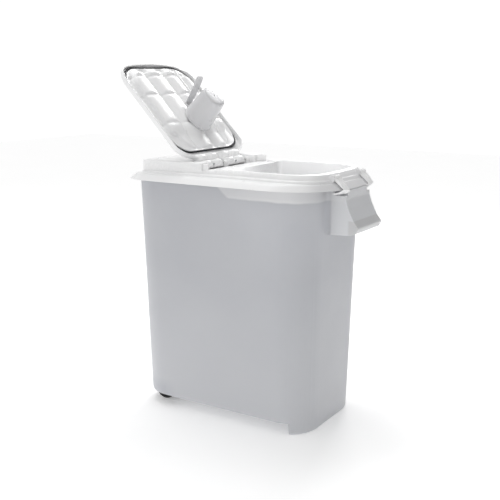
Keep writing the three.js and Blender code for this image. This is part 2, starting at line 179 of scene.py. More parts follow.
TUB = plastic("tub_plastic", (0.585, 0.595, 0.630), (0.615, 0.625, 0.655), rough=(0.34, 0.46), grain=700, depth=0.000006,
              spec=0.4, sss=0.35, trans=0.20, low=(0.06, 0.14, (0.5, 0.49, 0.47)), waves=0.0008)
WHITE = plastic("white_plastic", (0.885, 0.885, 0.89), (0.92, 0.92, 0.92), rough=(0.26, 0.38), grain=1100, depth=0.00003,
                spec=0.5, scuff=(0.97, 0.97, 0.97))
CLIP = plastic("latch_plastic", (0.93, 0.93, 0.93), (0.97, 0.97, 0.97), rough=(0.2, 0.32), grain=1300, depth=0.00002, spec=0.5,
               scuff=(1.0, 1.0, 1.0))
SCOOP = plastic("scoop_plastic", (0.65, 0.65, 0.665), (0.70, 0.70, 0.71), rough=(0.25, 0.4), grain=900, depth=0.00003, spec=0.5,
                trans=0.06, scuff=(0.86, 0.86, 0.87))
BLACK = plastic("wheel_plastic", (0.018, 0.018, 0.019), (0.032, 0.032, 0.033), rough=(0.42, 0.62), grain=1600, depth=0.00008,
                spec=0.35, low=(0.05, 0.5, (0.12, 0.115, 0.11)), scuff=(0.09, 0.09, 0.09))
SEAL = plastic("seal_rubber", (0.006, 0.006, 0.010), (0.014, 0.014, 0.020), rough=(0.45, 0.6), grain=2600, depth=0.00006, spec=0.3)


def steel(name):
    m, nt, b = nodes_of(name)
    v = coords(nt)
    st = noise(nt, coords(nt, (1, 0.05, 1)), 900, 3)
    col = ramp(nt, st, [(0.35, (0.50, 0.51, 0.52)), (0.65, (0.68, 0.69, 0.70))])
    nt.links.new(mixc(nt, rng(nt, noise(nt, v, 60, 5), 0.0, 0.35, 0.5, 0.75), col, (0.42, 0.40, 0.37)), b.inputs["Base Color"])
    b.inputs["Metallic"].default_value = 1.0
    nt.links.new(rng(nt, noise(nt, v, 90, 4), 0.24, 0.42), b.inputs["Roughness"])
    bump(nt, b, st, 0.00002, 0.5)
    return m


STEEL = steel("steel")


def math_(nt, op, a, b):
    n = nt.nodes.new("ShaderNodeMath"); n.operation = op
    for i, v in enumerate((a, b)):
        if isinstance(v, (int, float)):
            n.inputs[i].default_value = v
        else:
            nt.links.new(v, n.inputs[i])
    return n.outputs[0]


def paint_light_and_shade_on_tub(m):
    """Painted light and shade on the frosted tub wall: a painted light strip where the lid's inner sleeve shows
    through, its slanted left end a painted shadow edge; painted light towards the floor; painted light on the grip;
    painted shade over the wheel well and the grip's folded lower edge.
    """
    nt = m.node_tree
    b = next(n for n in nt.nodes if n.type == "BSDF_PRINCIPLED")
    col = b.inputs["Base Color"].links[0].from_socket
    tc = nt.nodes.new("ShaderNodeTexCoord"); sp = nt.nodes.new("ShaderNodeSeparateXYZ")
    nt.links.new(tc.outputs["Object"], sp.inputs[0])
    X, Y, Z = sp.outputs
    wob = math_(nt, "MULTIPLY", math_(nt, "SUBTRACT", noise(nt, tc.outputs["Object"], 30, 2), 0.5), 0.004)
    zz = math_(nt, "ADD", Z, wob)
    # painted light strip where the lid's inner sleeve shows through the wall; its slanted left end is a painted shadow
    # edge
    up = rng(nt, zz, 0.0, 1.0, 0.4935, 0.4975)
    slant = math_(nt, "ADD", X, math_(nt, "MULTIPLY", zz, 1.2))
    right = rng(nt, slant, 0.0, 1.0, 0.6215, 0.6290)
    near = rng(nt, X, 1.0, 0.25, 0.175, 0.245)
    painted_light_band = math_(nt, "MULTIPLY", math_(nt, "MULTIPLY", up, right), near)
    edge = math_(nt, "MULTIPLY", rng(nt, zz, 1.0, 0.86, 0.498, 0.503), painted_light_band)
    # painted light: the wall is lightened towards the floor, standing in for light bounced up from the floor
    col = mixc(nt, rng(nt, Z, 1.0, 0.0, 0.0, 0.34), col, (0.715, 0.725, 0.755))
    # painted light: the plastic out at the grip is painted lighter than the rest of the wall
    grip = rng(nt, X, 0.0, 1.0, 0.2235, 0.2275)
    col = mixc(nt, math_(nt, "MULTIPLY", grip, 0.85), col, (0.86, 0.87, 0.89))
    # the painted light strip is mixed in here, graded along the tub's length
    col = mixc(nt, math_(nt, "MULTIPLY", edge, rng(nt, X, 0.62, 1.0, 0.03, 0.16)), col, PAINTED_LIGHT_BAND_COLOUR)
    # painted shade: the shaded wheel well behind the wall is darkened in
    wheel_well_painted_shade = math_(nt, "MULTIPLY", rng(nt, X, 1.0, 0.0, -0.150, -0.118), rng(nt, Z, 1.0, 0.0, 0.045, 0.066))
    col = mixc(nt, math_(nt, "MULTIPLY", wheel_well_painted_shade, 0.30), col, (0.44, 0.46, 0.52))
    # painted shade: the lower curl of the grip is darkened
    hem_painted_shade = math_(nt, "MULTIPLY", rng(nt, X, 0.0, 1.0, 0.262, 0.266), rng(nt, Z, 1.0, 0.0, 0.4560, 0.4585))
    col = mixc(nt, math_(nt, "MULTIPLY", hem_painted_shade, 0.50), col, (0.56, 0.555, 0.545))
    nt.links.new(col, b.inputs["Base Color"])


paint_light_and_shade_on_tub(TUB)


def end_shade(m):
    """Painted shade: the raised end of the lid, over the gap above the grip, is darkened as if it faced away from the
    light.
    """
    nt = m.node_tree
    b = next(n for n in nt.nodes if n.type == "BSDF_PRINCIPLED")
    col = b.inputs["Base Color"].links[0].from_socket
    tc = nt.nodes.new("ShaderNodeTexCoord"); sp = nt.nodes.new("ShaderNodeSeparateXYZ")
    nt.links.new(tc.outputs["Object"], sp.inputs[0])
    # painted shade mixed into the white plastic beyond the lid's end
    nt.links.new(mixc(nt, math_(nt, "MULTIPLY", rng(nt, sp.outputs[0], 0.0, 1.0, 0.200, 0.226), 0.75), col, (0.70, 0.70, 0.71)), b.inputs["Base Color"])


end_shade(WHITE)


def sstep(a, b, x):
    t = np.clip((x - a) / (b - a), 0, 1)
    return t * t * (3 - 2 * t)


# ------------------------------------------------------------------ mesh helpers (millimetres in, metres out)
def obj(name, verts, faces, mat, angle=34):
    v = [((x - S) * 0.001, y * 0.001, z * 0.001) for x, y, z in verts]
    me = bpy.data.meshes.new(name)
    me.from_pydata(v, [], faces)
    me.update()
    bm = bmesh.new(); bm.from_mesh(me)
    bmesh.ops.remove_doubles(bm, verts=bm.verts, dist=2e-6)
    bmesh.ops.recalc_face_normals(bm, faces=bm.faces)
    bm.to_mesh(me); bm.free()
    o = bpy.data.objects.new(name, me)
    SCENE.collection.objects.link(o)
    me.materials.append(mat)
    shade(o, angle)
    return o


def shade(o, angle=34):
    me = o.data
    me.polygons.foreach_set("use_smooth", [True] * len(me.polygons))
    me.set_sharp_from_angle(angle=RAD(angle))
    me.update()


def bake(o):
    dg = bpy.context.evaluated_depsgraph_get()
    me = bpy.data.meshes.new_from_object(o.evaluated_get(dg))
    old = o.data
    o.modifiers.clear()
    o.data = me
    me.name = o.name
    if old.users == 0:
        bpy.data.meshes.remove(old)


def boolean(o, others, op):
    for t in others:
        m = o.modifiers.new("b", "BOOLEAN")
        m.operation = op
        m.solver = "EXACT"
        m.object = t
        bake(o)
        bpy.data.objects.remove(t)
    return o


def bevel(o, width, segs=2, angle=40, mat=None):
    m = o.modifiers.new("bev", "BEVEL")
    m.width = width * 0.001
    m.segments = segs
    m.limit_method = "ANGLE"
    m.angle_limit = RAD(angle)
    m.harden_normals = False
    m.use_clamp_overlap = True
    m.miter_outer = "MITER_ARC"
    bake(o)
    if mat is not None:
        o.data.materials.clear(); o.data.materials.append(mat)
    shade(o, 44)
    return o


def plan(x0, x1, hy, r0, r1, n=14, bow=0.0):
    p = []

    def arc(cx, cy, r, a0):
        for i in range(n + 1):
            a = a0 + math.pi / 2 * i / n
            p.append((cx + r * math.cos(a), cy + r * math.sin(a)))
    arc(x1 - r1, hy - r1, r1, 0)
    arc(x0 + r0, hy - r0, r0, math.pi / 2)
    arc(x0 + r0, -hy + r0, r0, math.pi)
    arc(x1 - r1, -hy + r1, r1, 1.5 * math.pi)
    return p


def rounded(pts, radii, segs=5):
    """A polyline with its inner corners turned into arcs."""
    out = [tuple(pts[0])]
    for i in range(1, len(pts) - 1):
        p0, p1, p2 = (np.array(pts[i + d], float) for d in (-1, 0, 1))
        r = radii[i] if isinstance(radii, (list, tuple)) else radii
        a, b = p0 - p1, p2 - p1
        la, lb = np.linalg.norm(a), np.linalg.norm(b)
        if r <= 0 or la < 1e-6 or lb < 1e-6:
            out.append(tuple(p1)); continue
        a, b = a / la, b / lb
        c = float(np.clip(a @ b, -1, 1))
        half = math.acos(c) / 2
        if half > RAD(88):
            out.append(tuple(p1)); continue
        d = min(r / math.tan(half), la * 0.48, lb * 0.48)
        q0, q2 = p1 + a * d, p1 + b * d
        for k in range(segs + 1):
            t = k / segs
            out.append(tuple((1 - t) ** 2 * q0 + 2 * t * (1 - t) * p1 + t * t * q2))
    out.append(tuple(pts[-1]))
    return out


def rings(name, ring_list, mat, closed=False, caps=(True, True), angle=34):
    """Skins matching rings. Each ring is a list of (x, y, z)."""
    n = len(ring_list[0])
    verts = [p for r in ring_list for p in r]
    faces = []
    k = len(ring_list)
    for j in range(k if closed else k - 1):
        a0, b0 = j * n, ((j + 1) % k) * n
        for i in range(n):
            i2 = (i + 1) % n
            faces.append((a0 + i, a0 + i2, b0 + i2, b0 + i))
    if not closed:
        if caps[0]:
            faces.append(tuple(range(n))[::-1])
        if caps[1]:
            faces.append(tuple((k - 1) * n + i for i in range(n)))
    return obj(name, verts, faces, mat, angle)


def ring_at(p, z):
    return [(x, y, z) for x, y in p]


def block(name, x0, x1, y0, y1, z0, z1, mat):
    v = [(x, y, z) for x in (x0, x1) for y in (y0, y1) for z in (z0, z1)]
    f = [(0, 1, 3, 2), (4, 6, 7, 5), (0, 4, 5, 1), (2, 3, 7, 6), (0, 2, 6, 4), (1, 5, 7, 3)]
    return obj(name, v, f, mat)


def slab(name, pts, y0, y1, mat, angle=34):
    """Outline in XZ, from y0 to y1."""
    n = len(pts)
    v = [(x, y0, z) for x, z in pts] + [(x, y1, z) for x, z in pts]
    f = [tuple(range(n)), tuple(range(n, 2 * n))[::-1]] + [(i, (i + 1) % n, n + (i + 1) % n, n + i) for i in range(n)]
    return obj(name, v, f, mat, angle)


def lathe(name, profile, centre, mat, n=48, angle=34, axis="y"):
    """profile: (r, y) loop, closed, about a line along Y through centre (x, y, z)."""
    cx, cy, cz = centre
    v, f = [], []
    k = len(profile)
    for i in range(n):
        a = 2 * math.pi * i / n
        for r, y in profile:
            v.append((cx + r * math.cos(a), cy + y, cz + r * math.sin(a)))
    for i in range(n):
        for j in range(k):
            f.append((i * k + j, i * k + (j + 1) % k, ((i + 1) % n) * k + (j + 1) % k, ((i + 1) % n) * k + j))
    return obj(name, v, f, mat, angle)


def join(name, objs):
    bpy.ops.object.select_all(action="DESELECT") if bpy.ops.object.select_all.poll() else None
    bm = bmesh.new()
    for o in objs:
        bm.from_mesh(o.data)
    me = bpy.data.meshes.new(name)
    bm.to_mesh(me); bm.free()
    me.materials.append(objs[0].data.materials[0])
    for o in objs:
        bpy.data.objects.remove(o)
    r = bpy.data.objects.new(name, me)
    SCENE.collection.objects.link(r)
    shade(r, 40)
    return r


def done(o, body, slot, *nodes):
    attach(o, body)
    if nodes:
        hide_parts(*nodes)
    return o


# ------------------------------------------------------------------ tub
HX0, HY0, TAPER, TR, WALL = 213.0, 129.3, 11.9 / 519, 69.0, 3.0
TOP_TUB = 528.6


def tub_plan(z, inset=0.0, n=16):
    return plan(-(HX0 + TAPER * z - inset), HX0 + TAPER * z - inset, HY0 + TAPER * z - inset, TR - inset, TR - inset, n)


def tub_solid(name, z0, inset, fillet, top, n=16):
    """Tapered body with a rolled bottom edge."""
    prof = rounded([(inset + 40, z0), (inset, z0), (inset, top)], [0, fillet, 0], 6)
    rr = []
    for i, z in prof:
        zz = max(z, 0)
        rr.append(ring_at(tub_plan(zz, i, n), z))
    return rings(name, rr, TUB)


tub = tub_solid("tub", 23, 0, 9, TOP_TUB)
foot = tub_solid("t_foot", 0, 0, 7, 60)
foot_box = slab("t_fb", rounded([(300, -10), (174, -10), (176.5, 6), (172, 62), (300, 62)], [0, 0, 5, 0, 0], 4), -200, 200, TUB)
boolean(foot, [foot_box], "INTERSECT")
boolean(tub, [foot], "UNION")
cav = tub_solid("t_cav", 28.5, 3, 7, TOP_TUB + 5)
raised = block("t_r", -270, -125, -220, 220, 20, 61.5, TUB)
boolean(cav, [raised], "DIFFERENCE")
fcav = tub_solid("t_fc", 3.5, 3, 5, 60)
boolean(fcav, [block("t_fcb", 178.5, 300, -220, 220, -5, 62, TUB)], "INTERSECT")
boolean(cav, [fcav], "UNION")
boolean(tub, [cav], "DIFFERENCE")
well = rings("t_w", [ring_at(tub_plan(z, 3.5), z) for z in (20, 58)], TUB)
boolean(well, [block("t_wb", -270, -128, -220, 220, 10, 58, TUB)], "INTERSECT")
boolean(tub, [well], "DIFFERENCE")
hang = [slab("t_h", [(-184, 59), (-178, 18), (-174, 16.2), (-166, 16.2), (-162, 18), (-156, 59)], a, b, TUB) for a, b in ((66, 71), (-71, -66), (-3, 3))]
boolean(tub, hang, "UNION")
ax = lathe("t_a", [(0.01, -90), (4.11, -90), (4.11, 90), (0.01, 90)], (-170, 0, 25), TUB, 32)
boolean(tub, [ax], "DIFFERENCE")
for s in (1, -1):
    gus = []
    for z in (427.5, 429, 434, 450, 470, 490, 503, 513, 516.5):
        bx = HX0 + TAPER * z
        g = 11.5 * (0.55 + 0.45 * float(sstep(427, 440, z)))
        pts = [(bx - 1.6, 55.0), (bx - 1.6, 57.0 + g * 1.1)]
        for k in range(9):
            a = math.pi / 2 * k / 8
            pts.append((bx + 0.15 + g * (1 - math.cos(a)), 57.1 + g * 1.08 * (1 - math.sin(a))))
        pts.append((bx + 0.15 + g, 55.0))
        gus.append(ring_at([(x, y * s) for x, y in pts], z))
    boolean(tub, [rings("t_g", gus, TUB)], "UNION")
bevel(tub, 1.1, 2, 50, TUB)
done(tub, "bin", "tub_plastic", "bin_body")

# ------------------------------------------------------------------ pull handle
def bodyx(z):
    return HX0 + TAPER * z - 0.6


out_h = rounded([(263.6, 517.8), (265.0, 499), (270.6, 482), (282.6, 458), (293.8, 443.5), (287.5, 432.2)], [0, 14, 30, 3, 6, 0], 6)
inn_h = rounded([(284.8, 433.6), (290.0, 443.3), (280.7, 456.5), (267.8, 480.9), (262.2, 498.6), (260.8, 517.8)], [0, 5, 20, 30, 14, 0], 6)
HN = 28


def hy_at(t):
    return -57 + 114 * t


# front web, a little crowned across its width
cols = []
for k in range(HN + 1):
    y = hy_at(k / HN)
    crown = 0.9 * (1 - (2 * k / HN - 1) ** 2) - 0.9
    cols.append([(x + crown, y, z) for x, z in out_h + inn_h])
web = rings("handle", cols, TUB)
cheek_out = out_h + [(276, 427.6), (bodyx(426), 425.6), (bodyx(518), 517.8)]
for s in (1, -1):
    ch = slab("h_c", cheek_out, 54 * s if s > 0 else -57, 57 if s > 0 else -54, TUB)
    web = boolean(web, [ch], "UNION")
top = slab("h_t", [(bodyx(515), 514.8), (263.2, 514.8), (263.6, 517.8), (bodyx(518), 517.8)], -57, 57, TUB)
boolean(web, [top], "UNION")
for s in (1, -1):
    st = slab("h_s", [(bodyx(426), 425.8), (bodyx(426) + 3, 425.8), (bodyx(518) + 3, 517.8), (bodyx(518), 517.8)], min(44 * s, 56 * s), max(44 * s, 56 * s), TUB)
    boolean(web, [st], "UNION")
boolean(web, [block("h_n1", 240, 300, 45.5, 84, 506.9, 530, TUB), block("h_n2", 240, 300, -84, -45.5, 506.9, 530, TUB)], "DIFFERENCE")
for s in (1, -1):
    w0 = slab("h_w", [(237, 503.6), (263.4, 503.6), (262.9, 517.6), (237, 517.6)], min(42.6 * s, 45.4 * s), max(42.6 * s, 45.4 * s), TUB)
    boolean(web, [w0], "UNION")
bevel(web, 1.0, 2, 46, TUB)
done(web, "bin", "tub_plastic", "pull_handle")

# ------------------------------------------------------------------ running gear
tyre = rounded([(4.2, -10.3), (9, -10.3), (9.6, -8.2), (12, -6.4), (18.5, -6.4), (20, -8.6), (21.4, -9.8), (23.8, -9.6), (24.8, -7.4), (25, -4),
                (24.3, -3.2), (24.3, -2.2), (25, -1.4), (25, 1.4), (24.3, 2.2), (24.3, 3.2), (25, 4),
                (24.8, 7.4), (23.8, 9.6), (21.4, 9.8), (20, 8.6), (18.5, 6.4), (12, 6.4), (9.6, 8.2), (9, 10.3), (4.2, 10.3)], 0.5, 3)
for nm, s in (("front", -1), ("back", 1)):
    w = lathe("wheel_%s_v" % nm, tyre, (-170, 86.5 * s, 25), BLACK, 72)
    ribs = []
    for k in range(6):
        a = math.pi / 3 * k
        ca, sa = math.cos(a), math.sin(a)
        for side in (-1, 1):
            y0, y1 = (6.2, 8.4) if side > 0 else (-8.4, -6.2)
            v = []
            for r, hw in ((8.8, 1.4), (19.4, 1.1)):
                for t in (-hw, hw):
                    for y in (y0, y1):
                        v.append((-170 + r * ca - t * sa, 86.5 * s + y, 25 + r * sa + t * ca))
            ribs.append(obj("rib", v, [(0, 1, 3, 2), (4, 6, 7, 5), (0, 4, 5, 1), (2, 3, 7, 6), (0, 2, 6, 4), (1, 5, 7, 3)], BLACK))
    w = join("wheel_%s_v" % nm, [w] + ribs)
    done(w, "roller_" + nm, "wheel_plastic", "wheel_" + nm)
    nut = rounded([(4.06, 0), (8.2, 0), (8.2, 0.9), (7.4, 1.2), (5.6, 2.6), (4.06, 2.6)], 0.3, 2)
    nn = lathe("push_nut_%s_v" % nm, [(r, y * s) for r, y in nut], (-170, s * 97.9, 25), STEEL, 40)
    done(nn, "bin", "steel", "push_nut_" + nm)
axl = lathe("axle_v", rounded([(0.01, -102), (3.2, -102), (4.0, -101), (4.0, 101), (3.2, 102), (0.01, 102)], 0.4, 2), (-170, 0, 25), STEEL, 32)
done(axl, "bin", "steel", "axle")

# ------------------------------------------------------------------ lid
AX, AZ, BX, BZ = 229.0, 550.4, 266.0, 519.4


def slope(z):
    return AX + (BX - AX) * (AZ - z) / (AZ - BZ)


# each key outline: x0, x1, hy, r0, r1, z
K = dict(
    skirt_in=(-238.2, 263.0, 155.6, 66.5, 131, 519.5), skirt_in2=(-239.4, 264.6, 157.0, 68, 132.6, 519.4), skirt_out=(-241, 266, 158.5, 69, 134, 519.5),
    ledge=(-229.3, slope(532.3), 145, 66, 98, 532.3), ledge_in=(-223, slope(532.3) - 1.2, 132, 58, 88, 532.6),
    step=(-214, slope(539), 130, 52, 78, 539), rim_b=(-62, slope(539) - 1.4, 123, 6, 75, 539.3), rim=(-60, 229, 121.8, 6, 64, 550.4),
    open_t=(12, 215.5, 112, 9, 55, 550.4), open_b=(12, 215.5, 112, 9, 55, 498.2), sleeve_b=(9.2, 218.3, 114.8, 12, 57.5, 498.2),
    sleeve_t=(9.2, 218.3, 114.8, 12, 57.5, 534.5), under=(-211.5, slope(537) - 3.5, 127.4, 50, 75, 536), in1=(-226, slope(531) - 3.6, 141.6, 63, 95, 529.6))
order = ["skirt_in", "skirt_in2", "skirt_out", "ledge", "ledge_in", "step", "rim_b", "rim", "open_t", "open_b", "sleeve_b", "sleeve_t", "under", "in1"]
rad = dict(skirt_in=0, skirt_in2=0.5, skirt_out=0.5, ledge=2.2, ledge_in=1.2, step=1.8, rim_b=1.4, rim=2.4, open_t=1.6, open_b=0.8, sleeve_b=0.8, sleeve_t=1.5, under=1.0, in1=1.5)
key = np.array([K[k] for k in order], float)
path = []
m = len(order)
for i in range(m):
    p0, p1, p2 = key[(i - 1) % m], key[i], key[(i + 1) % m]
    r = rad[order[i]]
    a, b = p0 - p1, p2 - p1

    def size(v):                              # travel measured across the side wall
        return math.hypot(v[2], v[5]) + 1e-9
    if r <= 0:
        path.append(p1); continue
    da, db = min(r * 1.6 / size(a), 0.45), min(r * 1.6 / size(b), 0.45)
    q0, q2 = p1 + a * da, p1 + b * db
    for k in range(5):
        t = k / 4
        path.append((1 - t) ** 2 * q0 + 2 * t * (1 - t) * p1 + t * t * q2)
lid_rings = []
for x0, x1, hy, r0, r1, z in path:
    pp = plan(x0, x1, hy, r0, r1, 18)
    lid_rings.append(ring_at(pp, z))
lid = rings("lid", lid_rings, WHITE, closed=True, angle=30)
PX0, PHY = -200.7, 123.0
plat_pts = [(-40, -108), (-38, -PHY), (PX0 + 9, -PHY), (PX0 + 2.8, -PHY + 2.8), (PX0, -PHY + 9), (PX0, PHY - 9), (PX0 + 2.8, PHY - 2.8), (PX0 + 9, PHY), (-38, PHY), (-40, 108), (-43, 94), (-43, -94)]
pl = rings("l_p", [ring_at(plat_pts, 537.5), ring_at(plat_pts, 560)], WHITE)
boolean(lid, [pl], "UNION")
boolean(lid, [block("l_r", -89.5, -35.8, -94, 94, 539.5, 570, WHITE), block("l_s", -36.2, 30, -94, 94, 546.5, 570, WHITE),
              block("l_q", -39.2, -9, -131, 131, 545.4, 570, WHITE)], "DIFFERENCE")
lug = rounded([(-75, 538.6), (-73.4, 546), (-71.6, 552), (-68.2, 555.6), (-61.4, 555.6), (-58, 552), (-56.2, 546), (-54.6, 538.6)], 3, 4)
boolean(lid, [slab("l_l", lug, a, b, WHITE) for a, b in ((84.5, 94.4), (-94.4, -84.5), (-4.2, 4.2))], "UNION")
boolean(lid, [lathe("l_b", [(0.01, -96.5), (2.6, -96.5), (2.6, 96.5), (0.01, 96.5)], (-64.8, 0, 550), WHITE, 32)], "DIFFERENCE")
# latch ears
L_ = math.hypot(37, 31); dx, dz = 37 / L_, -31 / L_; nx, nz = -dz, dx
LS = 14.5


def at(s, o):
    return (AX + dx * s + nx * o, AZ + dz * s + nz * o)


LPX, LPZ = at(LS, 5)
ear = rounded([at(LS - 6.6, -4.5), at(LS - 5.2, 5.2), at(LS - 2.6, 8.2), at(LS + 2.0, 8.2), at(LS + 4.4, 5.4), at(LS + 7.6, -4.5)], 2.2, 4)
ears = []
for s in (1, -1):
    for a, b in ((44.2, 47.6), (70.4, 73.8)):
        ears.append(slab("l_e", ear, min(a * s, b * s), max(a * s, b * s), WHITE))
boolean(lid, ears, "UNION")
for s in (1, -1):
    boolean(lid, [lathe("l_eb", [(0.01, -14.3), (1.68, -14.3), (1.68, 14.3), (0.01, 14.3)], (LPX, 59 * s, LPZ), WHITE, 24)], "DIFFERENCE")
bevel(lid, 0.8, 2, 46, WHITE)
done(lid, "lid", "white_plastic", "lid_frame")
# corner fillers beside the hinge, following the flap's own corner
for s in (1, -1):
    tri = [(-39.3, 100.6), (-37.4, 100.6), (-35.0, 104.9), (-31.8, 110.6), (-28.9, 115.4), (-25.4, 118.9), (-39.3, 118.9)]
    c0 = np.array(tri).mean(0)
    pad = rings("hinge_filler_%s" % ("back" if s > 0 else "front"), [ring_at([((x - c0[0]) * k + c0[0], ((y - c0[1]) * k + c0[1]) * s) for x, y in tri], z) for z, k in ((545.2, 1), (557.6, 1), (558.4, 0.96), (558.8, 0.88))], WHITE)
    done(pad, "lid", "white_plastic")
hp = lathe("hinge_pin_v", rounded([(0.01, -95.8), (2.0, -95.8), (2.5, -95.2), (2.5, 95.2), (2.0, 95.8), (0.01, 95.8)], 0.3, 2), (-64.8, 0, 550), STEEL, 28)
done(hp, "lid", "steel", "hinge_pin")
for nm, s in (("front", -1), ("back", 1)):
    p = lathe("latch_pin_%s_v" % nm, rounded([(0.01, -14.1), (1.3, -14.1), (1.6, -13.8), (1.6, 13.8), (1.3, 14.1), (0.01, 14.1)], 0.2, 2), (LPX, 59 * s, LPZ), STEEL, 24)
    done(p, "lid", "steel", "latch_pin_" + nm)

# ------------------------------------------------------------------ latches
def polar(r, deg):
    return (LPX + r * math.cos(RAD(deg)), LPZ + r * math.sin(RAD(deg)))


def hug(q, y):
    """Draw the strap in towards the curved end of the lid, leaving the pivot alone."""
    xs = 132 + math.sqrt(134 ** 2 - max(0, abs(y) - 24.5) ** 2)
    k = min(1.0, (math.hypot(xs - LPX, 519.4 - LPZ) + 2.0) / 34.9)
    vx, vz = q[0] - LPX, q[2] - LPZ
    r = math.hypot(vx, vz)
    w = float(sstep(9, 20, r))
    k = 1 + (k - 1) * w
    return (LPX + vx * k, q[1], LPZ + vz * k)


for nm, s in (("front", -1), ("back", 1)):
    outer = [at(LS - 2.2, 8.6), at(LS + 2.8, 8.8), at(LS + 6.5, 6.0), at(LS + 22, 4.9)] + [polar(r, a) for r, a in ((37.4, -44), (37.5, -50), (37.4, -58), (37.3, -66), (37.3, -74), (37.4, -82))]
    inner = [polar(r, a) for r, a in ((34.9, -82), (34.9, -74), (34.9, -66), (34.9, -58), (35.0, -50), (35.3, -46))] + [at(LS + 22, 1.0), at(LS + 5, 0.7), at(LS - 2.5, 0.9), at(LS - 4.2, 3.4)]
    tip = [polar(38.2, -86), polar(38.4, -89), polar(37.4, -91.3), polar(35.8, -91.3), polar(34.8, -89), polar(34.8, -85)]
    prof = rounded([outer[0]] + outer[1:] + tip + inner + [outer[0]], 1.6, 4)[:-1]
    y0, y1 = (48, 70) if s > 0 else (-70, -48)
    w = (y1 - y0)
    secs = []
    for t in np.linspace(0, 1, 15):
        y = y0 + w * t
        edge = abs(2 * t - 1)
        crown = 0.75 * max(0, (edge - 0.72) / 0.28) ** 2          # side rails stand proud, edges rolled
        dish = -0.5 * max(0, 1 - edge / 0.7)
        c = np.array(prof).mean(0)
        ring = []
        for px, pz in prof:
            ring.append((px + nx * dish * 0.6, y, pz + nz * dish * 0.6))
        secs.append([hug(q, y) for q in ring])
    clip = rings("latch_%s_v" % nm, secs, CLIP, angle=40)
    # raised side rails along the strap
    rails = []
    for yy in (y0 + 0.3, y1 - 2.9):
        rail = rounded([at(LS + 2, 7.6), at(LS + 7, 6.9), at(LS + 22, 6.0), polar(38.3, -46), polar(38.4, -56), polar(38.4, -66), polar(37.2, -72), polar(37, -56), polar(37, -46), at(LS + 22, 3), at(LS + 4, 3)], 1.2, 3)
        rr = [[hug((x, y_, z), y_) for x, z in rail] for y_ in (yy, yy + 2.6)]
        rails.append(rings("rl", rr, CLIP))
    boolean(clip, rails, "UNION")
    boolean(clip, [lathe("cb", [(0.01, -16), (1.82, -16), (1.82, 16), (0.01, 16)], (LPX, 59 * s, LPZ), CLIP, 48)], "DIFFERENCE")
    bevel(clip, 0.6, 2, 40, CLIP)
    done(clip, "clip_" + nm, "latch_plastic", "latch_" + nm)

# ------------------------------------------------------------------ flap, in its own frame: f along, y across, b inwards
T = RAD(46.2)
FV = np.array([-math.cos(T), 0, math.sin(T)])
NV = np.array([math.sin(T), 0, math.cos(T)])
PIV = np.array([-64.8, 0, 550.0])
ORG = PIV + 2.7 * FV - 10 * NV


def P(f, y, b):
    q = ORG + f * FV + b * NV
    return (q[0], y, q[2])


half = [(12, 0), (12, 34), (12.6, 68), (19, 83), (26.5, 99), (35, 114), (45, 123.5), (58, 128), (100, 128), (146, 128), (190, 128), (236, 128), (253, 125), (268, 118), (280, 108), (289.5, 91), (294.5, 62), (297, 30), (298, 0)]
loop = half + [(x, -y) for x, y in half[::-1][1:-1]]


def smooth_loop(pts, sub=8):
    p = np.array(pts, float); n = len(p); out = []
    for i in range(n):
        a, b, c, d = p[(i - 1) % n], p[i], p[(i + 1) % n], p[(i + 2) % n]
        for k in range(sub):
            t = k / sub
            out.append(0.5 * ((2 * b) + (c - a) * t + (2 * a - 5 * b + 4 * c - d) * t * t + (3 * b - a - 3 * c + d) * t ** 3))
    return np.array(out)


OUT = smooth_loop(loop, 6)
tang = np.roll(OUT, -1, 0) - np.roll(OUT, 1, 0)
nrm = np.stack([tang[:, 1], -tang[:, 0]], 1); nrm /= np.linalg.norm(nrm, axis=1)[:, None]
mid = OUT.mean(0)
if ((OUT - mid) * nrm).sum(1).mean() < 0:
    nrm = -nrm


def skirt_h(f, y):
    h = 13.9
    h = h + (9.3 - h) * sstep(264, 279, f)
    k = (1 - sstep(21, 27, f)) * (1 - sstep(68, 78, abs(y)))
    return h + (4.4 - h) * k


def shell_ring(inset, bfun):
    q = OUT - nrm * min(inset, 14)
    if inset > 14:
        q = mid + (q - mid) * (0.75 if inset < 40 else 0.4)
    return [P(f, y, bfun(f, y)) for f, y in q]


# the outer face is slightly crowned, its edge well rounded; the skirt ends in a rolled lip
sh = []
for ins, b in ((60, 0.0), (30, 0.0), (14, 0.0), (8, 0.05), (4.6, 0.35), (2.4, 1.2), (0.9, 2.6), (0.2, 4.2)):
    sh.append(shell_ring(ins, lambda f, y, b=b: b))
for ins, db in ((0.0, 1.6), (0.0, 0.9), (0.35, 0.3), (1.0, 0.0), (2.0, 0.0), (2.7, 0.35), (3.0, 1.0), (3.1, 2.0)):
    sh.append(shell_ring(ins, lambda f, y, db=db: max(skirt_h(f, y) - db, 2.4 if db > 1.5 else 2.6)))
for ins, b in ((3.5, 3.6), (5.5, 3.0), (8, 3.0), (30, 3.0), (60, 3.0)):
    sh.append(shell_ring(ins, lambda f, y, b=b: b))
shell = rings("flap_shell_v", sh, WHITE, angle=40)
